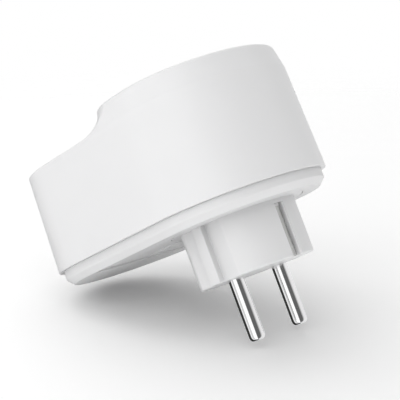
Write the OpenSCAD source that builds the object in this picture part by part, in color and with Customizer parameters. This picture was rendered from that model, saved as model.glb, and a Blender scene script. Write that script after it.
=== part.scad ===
// Plug-in power meter for a European two-pin earthed wall socket.
// A plug and a socket share one axis in the wide, round end of the housing.
// The narrow end holds the circuit boards, the display and three push buttons.
// Frame in use: +X right seen from the front, +Y into the wall, +Z up.
// The origin is on the plug's axis, in the plane of the flat back face.

/* [Housing] */
// Radius of the wide end at the shell's rear lip
wide_r = 30.1; // [30:0.1:30.6]
// Radius of the narrow end at the shell's rear lip
narrow_r = 29.0; // [28.6:0.1:29.2]
// Distance from the plug's axis to the narrow end's centre
reach = 45; // [44.6:0.2:46]
// How far the shell's side wall leans in from its lip to its front edge
draft = 0.92; // [0.6:0.02:1]
// Height of the shell's rear lip above the flat back face
lip_h = 4.8; // [4.7:0.1:4.9]
// Height of the shell's front edge above the flat back face
edge_h = 37; // [36.8:0.1:37.2]
// Height of the collar's rim above the flat back face
rim_h = 44.1; // [44:0.1:44.3]
// Inward lean of the collar from the shell's front edge to its rim
collar_lean = 1.4; // [1.2:0.1:1.6]
// Wall thickness of the shell
wall = 2; // [1.8:0.1:2]

/* [Back cover] */
// Width and height of the bevel round the flat back face
bevel = 2; // [1.5:0.1:2.2]
// Step from the shell's lip in to the cover's side
lip_step = 1.6; // [1.4:0.1:1.6]
// Thickness of the cover's floor
cover_floor = 3; // [2.8:0.1:3.2]
// Depth of the shallow recess in the back face
recess_d = 0.5; // [0.3:0.1:0.8]

/* [Plug] */
// Radius of the plug's body
plug_r = 17.95; // [17.8:0.05:18]
// Height of the plug's body above the back face
plug_h = 17.5; // [17:0.5:18]
// Radius of a contact pin
pin_r = 2.4; // [2.3:0.05:2.4]
// Length of a contact pin beyond the plug's face
pin_len = 19; // [18.5:0.5:19.5]
// Distance between the two pins' axes
pin_pitch = 19; // [18.9:0.1:19.1]
// Half distance between the plug's two side flats
flat_x = 15.9; // [15.8:0.05:16]
// Width of the key that stands on each side flat
key_w = 4.1; // [4:0.1:4.2]
// Radius of the round seam where the plug insert shows in the cover
seam_r = 20.85; // [20.7:0.05:20.9]

/* [Socket] */
// Radius of the socket's well
well_r = 19.5; // [19.4:0.05:19.6]
// Depth of the socket's well below the collar's rim
well_d = 17.5; // [17:0.1:17.5]
// Radius of the two pin holes in the well's floor
hole_r = 2.75; // [2.6:0.05:2.9]
// Angle by which the shutter turns to open the pin holes
shutter_turn = 38; // [38:0.5:40]

/* [Display and buttons] */
// Width of the display window
window_w = 30; // [28:0.5:30]
// Height of the display window
window_h = 14; // [13:0.5:14]
// Distance from the plug's axis up to the window's centre
window_y = 55.5; // [55:0.5:56]
// Distance from the plug's axis up to the row of buttons
button_y = 42; // [41.5:0.5:42.5]
// Distance between neighbouring buttons
button_pitch = 12; // [11:0.5:12.5]
// Radius of a button's cap
button_r = 3.4; // [3:0.1:3.5]
// Travel of a button into the front face
button_travel = 0.8; // [0.6:0.1:0.8]

/* [Hidden] */
fine = 96;
gap = 0.05;                      // clearance of a sliding fit, on the radius
face_h = edge_h + 0.5;           // flat front face of the narrow end
face_in = face_h - 2.5;          // inner side of the front wall
fillet_r = 7.5;                  // hollow curve between the collar and the narrow face
fillet_c = 36.3;                 // distance of that curve's centre from the axis
pin_x = pin_pitch / 2;
pin_tip = 1.2;                   // length of the cone at a pin's tip
shank_r = 2;                     // narrower part of a pin inside the plug
rivet_r = 1.5;                   // end of a pin, riveted into its bus bar
well_floor = rim_h - well_d;     // front side of the socket's floor
insert_back = well_floor - 3;    // rear side of the socket's floor
insert_r = well_r + 1.1;         // outer radius of the socket's cup
flange_r = 25.6;                 // flange of the socket insert
flange_t = 2.4;
post_ring = 23.2;                // posts and screws round the socket and the plug
spigot_h = 8;                    // top of the cover's spigot inside the shell
plug_flange_r = 25.2;
plug_flange_top = cover_floor + 1.6;
slot_w = 3.84;                   // earth slots at the plug's top and bottom
strip_w = 2.4;
strip_out = 16.5;                // outer face of the plug's earth strips
metal = 0.8;                     // thickness of the sheet metal parts
tenon_r = 1;                     // ends of the earth post, riveted into its neighbours
bar_z = 6.5;                     // underside of the two bus bars
bar_w = 7;
bar_end = 19.5;                  // the bus bars' upper ends
contact_end = 17;                // the socket contacts' upper ends
shunt_gap = 1.7;                 // between the neutral bar and its socket contact
neutral_base = bar_z + metal + shunt_gap;
contact_top = 20.4;              // top of the socket contacts' leaves
clip_bar_z = 18.6;               // underside of the socket earth clip's cross bar
shutter_z = 21.4;
shutter_t = 1.8;
shutter_r = 13.4;                // reach of the shutter's two arms
shutter_w = 2 * (pin_x * sin(shutter_turn) - hole_r - 0.1);    // arms that clear the turned holes
pivot_r = 2;
board_z = 12;                    // underside of the main board
board_t = 1.6;
board_top = board_z + board_t;
panel_z = 28;                    // underside of the display board
panel_top = panel_z + board_t;
lcd_z = 32.2;
lcd_w = 32;
lcd_h = 16;
switch_top = 31.6;
plunger_r = 1.5;
plunger_foot = 31.5;
button_flange = 33.3;            // underside of a button's flange
button_xs = [0, -button_pitch, button_pitch];
board_posts = [[-19.5, 27], [19.5, 27], [-14, 64], [14, 64]];
panel_posts = [[-20.5, 50], [20.5, 50], [-8, 66.3], [8, 66.3]];
hook_ys = [12, 33];
lead_y = contact_end - 1.2;      // where the voltage leads are soldered

// Turns the building frame (Y up, Z towards the front) into the frame in use.
module in_use() rotate([90, 0, 0]) children();

// Two round ends joined by straight sides, from height z0 to height z1.
// in0 and in1 are how far the outline lies inside the shell's lip at each height.
module egg(z0, z1, in0, in1) {
    hull() {
        translate([0, 0, z0])
            cylinder(h = z1 - z0, r1 = wide_r - in0, r2 = wide_r - in1, $fn = fine);
        translate([0, reach, z0])
            cylinder(h = z1 - z0, r1 = narrow_r - in0, r2 = narrow_r - in1, $fn = fine);
    }
}

// A screw with its head at height z, pointing to the front (dir 1) or to the back (-1).
module screw(z, length, dir) {
    translate([0, 0, z]) mirror([0, 0, dir > 0 ? 0 : 1]) {
        difference() {
            translate([0, 0, -1.4]) cylinder(h = 1.4, r = 1.9, $fn = 32);
            translate([-1.3, -0.25, -1.5]) cube([2.6, 0.5, 0.8]);
            translate([-0.25, -1.3, -1.5]) cube([0.5, 2.6, 0.8]);
        }
        cylinder(h = length, r = 0.9, $fn = 32);
    }
}

// Four places on a ring at 45 degrees to the axes.
module at_corners(radius)
    for (a = [45:90:315]) rotate([0, 0, a]) translate([radius, 0, 0]) children();

module at_both_pins() for (s = [-1, 1]) translate([s * pin_x, 0, 0]) children();

// Rises from the flat face of the narrow end to the collar's rim.
module front_profile() {
    steps = 14;
    start = asin((rim_h - (face_h + fillet_r)) / fillet_r);
    arc = [for (i = [0:steps]) let (a = 180 - start + i * (90 + start) / steps)
        [fillet_c + fillet_r * cos(a), face_h + fillet_r + fillet_r * sin(a)]];
    polygon(concat([[0, edge_h - 4], [0, rim_h]], arc, [[90, face_h], [90, edge_h - 4]]));
}

module shell_outside() {
    egg(lip_h, edge_h, 0, draft);
    intersection() {
        egg(edge_h - 0.5, rim_h, draft, draft + collar_lean);
        rotate_extrude($fn = fine) front_profile();
    }
}

module front_shell() {
    color("white") in_use() difference() {
        union() {
            difference() {
                shell_outside();
                egg(lip_h - 1, face_in, wall, draft + wall);
                translate([0, 0, face_in - 1]) difference() {
                    cylinder(h = rim_h - 2 - face_in + 1, r = 25.8, $fn = fine);
                    translate([0, 0, -1]) cylinder(h = 20, r = insert_r + 1.6, $fn = fine);
                }
            }
            at_corners(post_ring)
                translate([0, 0, insert_back + flange_t])
                    cylinder(h = rim_h - 1.5 - insert_back - flange_t, r = 2.3, $fn = 32);
            for (p = panel_posts) translate([p[0], p[1], panel_top])
                cylinder(h = face_in + 0.5 - panel_top, r = 2.2, $fn = 32);
        }
        translate([0, 0, face_in - 1]) cylinder(h = 20, r = insert_r, $fn = fine);
        at_corners(post_ring)
            translate([0, 0, insert_back + flange_t - 0.1]) cylinder(h = 6, r = 0.9, $fn = 32);
        for (p = panel_posts) translate([p[0], p[1], panel_top - 0.1])
            cylinder(h = 4.5, r = 0.9, $fn = 32);
        translate([-window_w / 2, window_y - window_h / 2, face_h - 2])
            cube([window_w, window_h, 4]);
        translate([-window_w / 2 + 1.5, window_y - window_h / 2 + 1.5, face_in - 1])
            cube([window_w - 3, window_h - 3, 5]);
        for (x = button_xs) translate([x, button_y, face_in - 1])
            cylinder(h = 6, r = button_r + gap, $fn = 48);
        for (y = hook_ys, s = [-1, 1]) translate([s * 27.7 - 0.8, y - 4.2, spigot_h + 0.6])
            cube([1.6, 8.4, 2.8]);
    }
}

module back_cover() {
    color("whitesmoke") in_use() difference() {
        union() {
            egg(0, bevel, lip_step + bevel, lip_step);
            egg(bevel, lip_h, lip_step, lip_step);
            egg(lip_h, spigot_h, wall + 0.25, wall + 0.3);
            for (y = hook_ys, s = [-1, 1]) {
                translate([s * 26.4 - 0.5, y - 4, spigot_h - 0.5]) cube([1, 8, 3.6]);
                translate([s * 27.4 - 0.9, y - 4, spigot_h + 0.8]) cube([1.8, 8, 2.3]);
            }
        }
        difference() {
            egg(cover_floor, spigot_h + 1, lip_step + 2, lip_step + 2);
            for (p = board_posts) translate([p[0], p[1], 0]) cylinder(h = 20, r = 2.6, $fn = 32);
        }
        translate([0, 0, -1]) cylinder(h = 8, r = seam_r + 0.15, $fn = fine);
        at_corners(post_ring) translate([0, 0, 0.8]) cylinder(h = 6, r = 0.9, $fn = 32);
        translate([-24.4, 22.6, -1]) cube([48.8, 20.9, 1 + recess_d]);
    }
    color("whitesmoke") in_use() for (p = board_posts) translate([p[0], p[1], cover_floor])
        difference() {
            cylinder(h = board_z - cover_floor, r = 2.6, $fn = 32);
            translate([0, 0, board_z - cover_floor - 6]) cylinder(h = 7, r = 0.9, $fn = 32);
        }
}

// Outline of the plug's body: a circle with two side flats, each with a key.
module plug_outline() {
    intersection() {
        circle(r = plug_r, $fn = fine);
        union() {
            square([2 * flat_x, 4 * plug_r], center = true);
            square([4 * plug_r, key_w], center = true);
        }
    }
}

module plug_insert() {
    color("white") in_use() difference() {
        union() {
            translate([0, 0, -plug_h + 0.6]) linear_extrude(plug_h) plug_outline();
            intersection() {
                translate([0, 0, -plug_h]) linear_extrude(1) plug_outline();
                translate([0, 0, -plug_h]) cylinder(h = 0.6, r1 = plug_r - 0.6, r2 = plug_r, $fn = fine);
            }
            cylinder(h = cover_floor, r = seam_r, $fn = fine);
            translate([0, 0, cover_floor])
                cylinder(h = plug_flange_top - cover_floor, r = plug_flange_r, $fn = fine);
        }
        at_both_pins() translate([0, 0, -plug_h - 1]) cylinder(h = 40, r = shank_r, $fn = 48);
        for (s = [-1, 1]) {
            translate([-slot_w / 2, s > 0 ? strip_out - metal : -plug_r - 1, -plug_h - 1])
                cube([slot_w, plug_r + 1 - strip_out + metal, plug_h - 0.2]);
            translate([-strip_w / 2, s > 0 ? strip_out - metal : -strip_out, -2])
                cube([strip_w, metal, 10]);
        }
        at_corners(post_ring) translate([0, 0, 1]) cylinder(h = 6, r = 1.1, $fn = 32);
    }
}

// Round pin with a shoulder that stops on the plug's face.
module plug_pin() {
    color("silver") in_use() {
        translate([0, 0, -plug_h - pin_len])
            cylinder(h = pin_tip, r1 = pin_r - pin_tip, r2 = pin_r, $fn = 48);
        translate([0, 0, -plug_h - pin_len + pin_tip])
            cylinder(h = pin_len - pin_tip, r = pin_r, $fn = 48);
        translate([0, 0, -plug_h]) cylinder(h = plug_h + bar_z, r = shank_r, $fn = 48);
        translate([0, 0, bar_z]) cylinder(h = metal, r = rivet_r, $fn = 32);
    }
}
module plug_pin_line() translate([pin_x, 0, 0]) plug_pin();
module plug_pin_neutral() translate([-pin_x, 0, 0]) plug_pin();

module plug_earth_contact() {
    top = plug_flange_top + metal;
    strip_end = -plug_h + 0.5;
    color("goldenrod") in_use() difference() {
        union() {
            for (s = [-1, 1])
                translate([-strip_w / 2, s > 0 ? strip_out - metal : -strip_out, strip_end])
                    cube([strip_w, metal, top - strip_end]);
            translate([-strip_w / 2, -strip_out, plug_flange_top]) cube([strip_w, 2 * strip_out, metal]);
        }
        cylinder(h = 10, r = tenon_r, $fn = 32);
    }
}

// Flat bar that carries one pin's current to the measuring side.
module bus_bar() {
    color("goldenrod") in_use() difference() {
        translate([-bar_w / 2, -bar_w / 2, bar_z]) cube([bar_w, bar_w / 2 + bar_end, metal]);
        cylinder(h = 20, r = rivet_r, $fn = 32);
    }
}
module line_bus_bar() translate([pin_x, 0, 0]) bus_bar();
module neutral_bus_bar() translate([-pin_x, 0, 0]) bus_bar();

module shunt_resistor() {
    color("peru") in_use()
        translate([-pin_x - 2.5, contact_end - 3.5, bar_z + metal]) cube([5, 3, shunt_gap]);
}

module contact_spacer() {
    color("ivory") in_use() difference() {
        translate([-pin_x - 3.5, -3.5, bar_z + metal]) cube([7, 15, shunt_gap]);
        translate([-pin_x, 0, 0]) cylinder(h = 20, r = 1.6, $fn = 32);
    }
}

// Spring contact of the socket: a base and two leaves that grip a pin.
module socket_contact(base) {
    color("goldenrod") in_use() {
        translate([-3, -4, base]) cube([6, 4 + contact_end, metal]);
        for (s = [-1, 1]) {
            translate([-3, s > 0 ? 3.2 : -4, base]) cube([6, metal, contact_top - base - 4]);
            translate([-3, s > 0 ? 2.45 : -3.25, contact_top - 7]) cube([6, metal, 5.5]);
            translate([-3, s > 0 ? 2.45 : -4, contact_top - 7]) cube([6, 1.55, metal]);
            translate([-3, s > 0 ? 2.45 : -4.5, contact_top - 2.3]) cube([6, 2.05, metal]);
        }
    }
}
module socket_contact_line() translate([pin_x, 0, 0]) socket_contact(bar_z + metal);
module socket_contact_neutral() translate([-pin_x, 0, 0]) socket_contact(neutral_base);

module earth_post() {
    z0 = plug_flange_top + metal;
    color("goldenrod") in_use() {
        translate([0, 0, z0]) cylinder(h = clip_bar_z - z0, r = 2.5, $fn = 48);
        translate([0, 0, z0 - metal]) cylinder(h = metal, r = tenon_r, $fn = 32);
        translate([0, 0, clip_bar_z]) cylinder(h = metal, r = tenon_r, $fn = 32);
    }
}

module socket_insert() {
    color("white") in_use() difference() {
        union() {
            difference() {
                translate([0, 0, insert_back])
                    cylinder(h = rim_h - insert_back, r = insert_r - 0.05, $fn = fine);
                translate([0, 0, well_floor]) cylinder(h = 30, r = well_r, $fn = fine);
            }
            for (s = [-1, 1], t = [-1, 1]) intersection() {
                translate([s * 18.3 - 2, t * 4 - 1.1, well_floor - 1]) cube([4, 2.2, well_d - 1]);
                cylinder(h = 60, r = well_r + 0.5, $fn = fine);
            }
            translate([0, 0, insert_back]) cylinder(h = flange_t, r = flange_r, $fn = fine);
            translate([0, 0, shutter_z - 1.5]) cylinder(h = 4, r = pivot_r, $fn = 48);
            translate([0, 0, shutter_z + shutter_t + 0.1]) cylinder(h = 1, r = 3.4, $fn = 48);
        }
        at_both_pins() translate([0, 0, insert_back - 1]) cylinder(h = 6, r = hole_r, $fn = 48);
        for (s = [-1, 1]) translate([-2.4, s * 18 - 0.8, insert_back - 1]) cube([4.8, 1.6, 6]);
        at_corners(post_ring) translate([0, 0, insert_back - 1]) cylinder(h = 6, r = 1.1, $fn = 32);
    }
}

// Earth clip of the socket: a cross bar with a sprung arm at each end.
module socket_earth_clip() {
    arm_top = 40;
    color("silver") in_use() difference() {
        union() {
            translate([-2, -18.4, clip_bar_z]) cube([4, 36.8, metal]);
            for (s = [0, 1]) mirror([0, s, 0]) rotate([90, 0, 90]) translate([0, 0, -2])
                linear_extrude(4) polygon([[17.6, clip_bar_z], [18.4, clip_bar_z],
                    [18.4, 30], [17.6, 35], [18.7, arm_top], [18, arm_top + 0.2],
                    [16.8, 35], [17.6, 30]]);
        }
        cylinder(h = 40, r = tenon_r, $fn = 32);
    }
}

// Turning shutter: it hides both pin holes at rest.
module safety_shutter() {
    color("gainsboro") in_use() translate([0, 0, shutter_z]) difference() {
        union() {
            cylinder(h = shutter_t, r = 5, $fn = 48);
            for (s = [0, 180]) rotate([0, 0, s]) intersection() {
                cylinder(h = shutter_t, r = shutter_r, $fn = 64);
                translate([0, -shutter_w / 2, 0]) cube([shutter_r + 1, shutter_w, shutter_t]);
            }
        }
        translate([0, 0, -1]) cylinder(h = 5, r = pivot_r + gap, $fn = 48);
    }
}

// Flat spiral wire round the pivot; its coils are drawn as rings of wire.
module shutter_spring() {
    wire_r = 0.28;
    color("silver") in_use() for (i = [0:1]) translate([0, 0, shutter_z - 0.38])
        rotate_extrude($fn = 48) translate([2.5 + i * 0.7, 0]) circle(r = wire_r, $fn = 16);
}

module shutter_washer() {
    color("silver") in_use() translate([0, 0, shutter_z - 1.2]) difference() {
        cylinder(h = 0.5, r = 3.8, $fn = 48);
        translate([0, 0, -1]) cylinder(h = 3, r = pivot_r, $fn = 48);
    }
}

module socket_screws() color("silver") in_use() at_corners(post_ring) screw(insert_back, 7, 1);
module plug_screws() color("silver") in_use() at_corners(post_ring) screw(plug_flange_top, 3.6, -1);
module board_screws() color("silver") in_use()
    for (p = board_posts) translate([p[0], p[1], 0]) screw(board_top, 5.5, -1);
module display_screws() color("silver") in_use()
    for (p = panel_posts) translate([p[0], p[1], 0]) screw(panel_z, 5, 1);

module main_board() {
    color("darkgreen") in_use() difference() {
        translate([0, 0, board_z]) linear_extrude(board_t) intersection() {
            union() {
                translate([0, reach]) circle(r = 25, $fn = fine);
                translate([-23, 21]) square([46, 24]);
            }
            translate([-24, 21]) square([48, 60]);
        }
        for (p = board_posts) translate([p[0], p[1], 0]) cylinder(h = 20, r = 1.1, $fn = 32);
    }
}

module film_capacitor() {
    color("gold") in_use() translate([-13, 29.5, board_top]) cube([18, 8.5, 13.5]);
}
module smoothing_capacitor() {
    color("darkslategray") in_use() translate([13, 36, board_top]) {
        cylinder(h = 12, r = 4.9, $fn = 64);
        cylinder(h = 12.3, r = 3.6, $fn = 64);
    }
}
module varistor() {
    color("royalblue") in_use() translate([9, 25.5, board_top + 4.6]) {
        rotate([90, 0, 0]) cylinder(h = 3.6, r = 4.4, center = true, $fn = 64);
        for (s = [-1, 1]) translate([s * 2.5, 0, -4.6]) cylinder(h = 2, r = 0.4, $fn = 24);
    }
}
module fuse() {
    color("tan") in_use() translate([-4.5, 26.2, board_top + 2.1]) {
        rotate([0, 90, 0]) cylinder(h = 9, r = 2, center = true, $fn = 48);
        for (s = [-1, 1]) translate([s * 6, 0, -2.1]) {
            cylinder(h = 2.4, r = 0.35, $fn = 24);
            translate([s > 0 ? -1.7 : -0.35, -0.35, 1.75]) cube([2.05, 0.7, 0.7]);
        }
    }
}
module backup_battery() {
    color("darkgreen") in_use() translate([-9.5, 49.5, board_top]) {
        cylinder(h = 9.6, r = 7.6, $fn = 64);
        cylinder(h = 10, r = 5, $fn = 64);
    }
}
// Chip with a row of legs along each long side.
module chip(size, height, legs) {
    leg = [0.4, 1.2, 0.5];
    pitch = size[0] / legs;
    translate([-size[0] / 2, -size[1] / 2, board_top + 0.15]) cube([size[0], size[1], height]);
    for (i = [0:legs - 1], s = [0, 1]) mirror([0, s, 0])
        translate([(i + 0.5) * pitch - size[0] / 2 - leg[0] / 2, size[1] / 2 - 0.3, board_top])
            cube(leg);
}
module metering_chip() color("dimgray") in_use() translate([9, 48, 0]) chip([10, 5.2], 1.8, 8);
module microcontroller() color("dimgray") in_use() translate([8, 57.5, 0]) chip([8, 8], 1.4, 8);
module crystal() {
    color("silver") in_use() translate([17.5, 51, board_top]) hull()
        for (s = [-1, 1]) translate([0, s * 3.2, 0]) cylinder(h = 3, r = 2, $fn = 32);
}

// Round wire through a list of corner points.
module wire(points, radius) {
    for (i = [0:len(points) - 2]) {
        v = points[i + 1] - points[i];
        translate(points[i]) rotate([0, acos(v[2] / norm(v)), atan2(v[1], v[0])])
            cylinder(h = norm(v), r = radius, $fn = 16);
    }
    for (i = [1:len(points) - 2]) translate(points[i]) sphere(r = radius, $fn = 16);
}
module voltage_leads() {
    color("firebrick") in_use() for (s = [-1, 1])
        wire([[s * 11.4, lead_y, (s > 0 ? bar_z + metal : neutral_base) + metal], [s * 11.4, lead_y, 17],
            [s * 11.4, 22.4, 17], [s * 11.4, 22.4, board_top]], 0.8);
}
module shunt_leads() {
    color("white") in_use()
        wire([[-9, contact_end + 1.3, bar_z + metal], [-9, contact_end + 1.3, 16], [-9, 22.3, 16],
            [-9, 22.3, board_top]], 0.5);
}

// Pin strip that joins the two boards.
module board_header() {
    color("dimgray") in_use() translate([0, 66, board_top]) {
        translate([-5.5, -1.2, 0]) cube([11, 2.4, 2.5]);
        for (i = [-2:2]) translate([i * 2, 0, 2])
            cylinder(h = panel_z - board_top - 2, r = 0.35, $fn = 24);
        translate([-5.5, -1.2, panel_z - board_top - 2.5]) cube([11, 2.4, 2.5]);
    }
}

module display_board() {
    color("darkgreen") in_use() difference() {
        translate([0, 0, panel_z]) linear_extrude(board_t) intersection() {
            translate([0, reach]) circle(r = 25.2, $fn = fine);
            translate([-26, 37.5]) square([52, 40]);
        }
        for (p = panel_posts) translate([p[0], p[1], 0]) cylinder(h = 40, r = 1.1, $fn = 32);
    }
}

module lcd_module() {
    color("darkseagreen") in_use() {
        translate([-lcd_w / 2, window_y - lcd_h / 2, lcd_z]) cube([lcd_w, lcd_h, 1.1]);
        translate([-lcd_w / 2 + 1, window_y - lcd_h / 2 + 1, lcd_z + 1.1])
            cube([lcd_w - 2, lcd_h - 2, 1.1]);
    }
}

module contact_strips() {
    color("lightgray") in_use() for (s = [-1, 1])
        translate([-lcd_w / 2 + 1, window_y + s * (lcd_h / 2 - 1.2) - 0.8, panel_top])
            cube([lcd_w - 2, 1.6, lcd_z - panel_top]);
}

module lcd_window() {
    color("gray") in_use() translate([-window_w / 2, window_y - window_h / 2, face_h - 2])
        cube([window_w, window_h, 2]);
}

// Push button: a cap through the front wall, kept in by its flange.
module push_button(x) {
    color("white") in_use() translate([x, button_y, 0]) {
        translate([0, 0, button_flange]) cylinder(h = 1.4, r = button_r + 1, $fn = 48);
        translate([0, 0, button_flange + 0.7])
            cylinder(h = face_h + 0.7 - button_flange, r = button_r, $fn = 48);
        translate([0, 0, face_h + 1.4]) cylinder(h = 0.4, r1 = button_r, r2 = button_r - 0.4, $fn = 48);
    }
}
module mode_button() push_button(button_xs[0]);
module down_button() push_button(button_xs[1]);
module up_button() push_button(button_xs[2]);

module switch_bodies() {
    color("dimgray") in_use() for (x = button_xs) translate([x, button_y, panel_top]) difference() {
        translate([-3, -3, 0]) cube([6, 6, switch_top - panel_top]);
        translate([0, 0, plunger_foot - button_travel - 0.3 - panel_top])
            cylinder(h = 5, r = plunger_r + gap, $fn = 32);
    }
}

module plunger(x) {
    color("black") in_use() translate([x, button_y, plunger_foot])
        cylinder(h = button_flange - plunger_foot, r = plunger_r, $fn = 32);
}
module mode_switch_plunger() plunger(button_xs[0]);
module down_switch_plunger() plunger(button_xs[1]);
module up_switch_plunger() plunger(button_xs[2]);

front_shell();
back_cover();
plug_insert();
plug_pin_line();
plug_pin_neutral();
plug_earth_contact();
line_bus_bar();
neutral_bus_bar();
shunt_resistor();
contact_spacer();
socket_contact_line();
socket_contact_neutral();
earth_post();
socket_insert();
socket_earth_clip();
safety_shutter();
shutter_spring();
shutter_washer();
socket_screws();
plug_screws();
main_board();
board_screws();
film_capacitor();
smoothing_capacitor();
varistor();
fuse();
backup_battery();
metering_chip();
microcontroller();
crystal();
voltage_leads();
shunt_leads();
board_header();
display_board();
display_screws();
lcd_module();
contact_strips();
lcd_window();
mode_button();
down_button();
up_button();
switch_bodies();
mode_switch_plunger();
down_switch_plunger();
up_switch_plunger();
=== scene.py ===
"""Looks of the plug-in power meter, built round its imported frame.

Shapes are worked out in the meter's building frame, in millimetres: x to the right, up along the
housing, front away from the wall. at() turns that into the shared frame, in metres. Sizes that the
frame knows are read from its nodes' boxes, and the others are named below.
"""
import math

import bmesh
import bpy
from mathutils import Euler, Matrix, Vector


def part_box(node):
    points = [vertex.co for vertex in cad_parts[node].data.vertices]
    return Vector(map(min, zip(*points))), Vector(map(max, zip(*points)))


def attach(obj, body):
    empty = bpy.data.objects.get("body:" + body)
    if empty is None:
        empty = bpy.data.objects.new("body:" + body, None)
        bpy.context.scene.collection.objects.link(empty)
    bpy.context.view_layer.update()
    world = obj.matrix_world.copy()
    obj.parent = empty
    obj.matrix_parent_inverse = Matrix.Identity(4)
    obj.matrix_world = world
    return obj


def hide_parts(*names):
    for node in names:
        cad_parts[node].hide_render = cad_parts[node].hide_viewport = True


MM = 0.001
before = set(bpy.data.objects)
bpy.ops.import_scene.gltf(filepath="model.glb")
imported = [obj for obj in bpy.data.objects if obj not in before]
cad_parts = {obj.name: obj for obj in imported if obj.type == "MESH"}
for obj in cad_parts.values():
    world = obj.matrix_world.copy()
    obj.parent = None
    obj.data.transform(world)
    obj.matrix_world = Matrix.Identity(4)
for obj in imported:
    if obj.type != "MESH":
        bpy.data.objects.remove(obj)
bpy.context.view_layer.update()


def node_box(node):
    """Lowest and highest corner of a node in the building frame, in millimetres."""
    low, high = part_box(node)
    return Vector((low.x, low.z, -high.y)) / MM, Vector((high.x, high.z, -low.y)) / MM


# Boxes of the nodes that the shapes below are fitted to.
SHELL_LOW, SHELL_HIGH = node_box("front_shell")
COVER_HIGH = node_box("back_cover")[1]
PLUG_LOW, PLUG_HIGH = node_box("plug_insert")
PIN_LOW, PIN_HIGH = node_box("plug_pin_line")
SOCKET_LOW, SOCKET_HIGH = node_box("socket_insert")
WINDOW_LOW, WINDOW_HIGH = node_box("lcd_window")
LCD_LOW, LCD_HIGH = node_box("lcd_module")

# Housing. Its outline joins a wide and a narrow round end, whose centres are REACH apart.
REACH = 45.0
WIDE_R = SHELL_HIGH.x
NARROW_R = SHELL_HIGH.y - REACH
WALL = 2.0
LIP = SHELL_LOW.z
LIP_ROUND = 0.3
RIM = SHELL_HIGH.z
FACE = WINDOW_HIGH.z
FACE_IN = FACE - 2.5
# The side is drawn in by DRAFT at its crease, and by LEAN more at the rim.
EDGE = FACE - 0.5
DRAFT = 0.92
LEAN = 1.4
# Hollow curve between the collar and the flat face, whose centre is FILLET_C from the plug's axis.
FILLET_R = 7.5
FILLET_C = 36.3
# The collar's inside radius, and the wall of the sleeve in it that holds the socket's cup.
COLLAR_IN_R = 25.8
SLEEVE = 1.6
# The flat face's line runs on past the outline, and is cut off there.
FACE_END = 90.0
# Space between the points round the outline.
COLUMNS_STEP = 1.0

# Screw posts, all with the same bore: in the collar, behind the face for the display board, and on the
# cover for the main board.
POST_BORE_R = 0.9
COLLAR_POST_R = 2.3
COLLAR_POST_END = 26.0
COLLAR_POST_RING = 23.2
DISPLAY_POST_R = 2.2
DISPLAY_POST_END = 29.6
DISPLAY_POSTS = [(-20.5, 50), (20.5, 50), (-8, 66.3), (8, 66.3)]
BOARD_POST_R = 2.6
BOARD_POST_TOP = 12.0
BOARD_POSTS = [(-19.5, 27), (19.5, 27), (-14, 64), (14, 64)]

# Back cover, with a spigot that enters the shell and a shallow tray in its back face.
LIP_STEP = WIDE_R - COVER_HIGH.x
BEVEL = 2.0
COVER_FLOOR = 3.0
COVER_TOP = LIP - 0.02
SPIGOT = 8.0
SPIGOT_PLAY = 0.28
SEAM_R = 20.85
SEAM_GAP = 0.15
HOOK_UPS = (12, 33)
HOOK_LENGTH = 8.0
TRAY_HALF = 24.4
TRAY_LOW = 22.6
TRAY_HIGH = 43.5
TRAY_DEPTH = 0.5
# Raised field in the tray, for a rating plate that is left blank.
ISLAND_X = 7.5
ISLAND_UP = 33.0
ISLAND_WIDTH = 21.0
ISLAND_HEIGHT = 16.0
ISLAND_TOP = 0.1

# Plug: body, pins and earth strips.
PLUG_FACE = PLUG_LOW.z
PLUG_R = 17.95
FLAT_X = 15.9
KEY_HALF = 2.05
PIN_R = (PIN_HIGH.x - PIN_LOW.x) / 2
PIN_X = (PIN_HIGH.x + PIN_LOW.x) / 2
PIN_END = PIN_LOW.z
NECK_R = 2.0
STRIP_R = 16.1
STRIP_WIDTH = 2.4
STRIP_THICK = 0.8
STRIP_PLAY = 0.05
SLOT_HALF = 1.92
SLOT_CHAMFER = 0.37

# Socket.
WELL_R = 19.5
CUP_R = 20.6
WELL_FLOOR = RIM - 17.5
WELL_BACK = WELL_FLOOR - 3.0
HOLE_R = 2.75
CLIP_WIDTH = 4.0

# Front face: the window's pocket, and each button with the way that its arrowhead points.
WINDOW_PLAY = 0.1
WINDOW_LEDGE = 1.5
BUTTON_HOLE_R = 3.5
BUTTON_MOUTH = 0.25
BUTTONS = {"mode_button": 0, "down_button": -1, "up_button": 1}


# ---------------------------------------------------------------- mesh helpers

# Points nearer to each other than this, in metres, become one.
MERGE = 1e-7
# Edges that bend more sharply than this stay sharp in the shading.
SHARP_ANGLE = math.radians(32)


def at(x, up, front):
    """A point of the building frame, in the shared frame."""
    return Vector((x, -front, up)) * MM


def rounded(points, cuts, steps, closed=False):
    """A line of 2-D points whose corners are cut off by the given lengths and bent round."""
    out = []
    last = len(points) - 1
    for i, point in enumerate(points):
        here = Vector(point)
        if cuts[i] <= 0 or (not closed and i in (0, last)):
            out.append(here)
            continue
        before = Vector(points[i - 1])
        after = Vector(points[(i + 1) % len(points)])
        start = here + (before - here).normalized() * min(cuts[i], (before - here).length * 0.49)
        end = here + (after - here).normalized() * min(cuts[i], (after - here).length * 0.49)
        out += bend(start, here, end, steps)
    return out


def bend(start, corner, end, steps):
    """Points of a curve that leaves start and meets end along the lines to the corner."""
    shares = [k / steps for k in range(steps + 1)]
    return [start * (1 - t) ** 2 + corner * 2 * t * (1 - t) + end * t ** 2 for t in shares]


def spread(a, b, steps):
    """Evenly spaced points from a to b, without b itself."""
    return [Vector(a).lerp(Vector(b), k / steps) for k in range(steps)]


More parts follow.
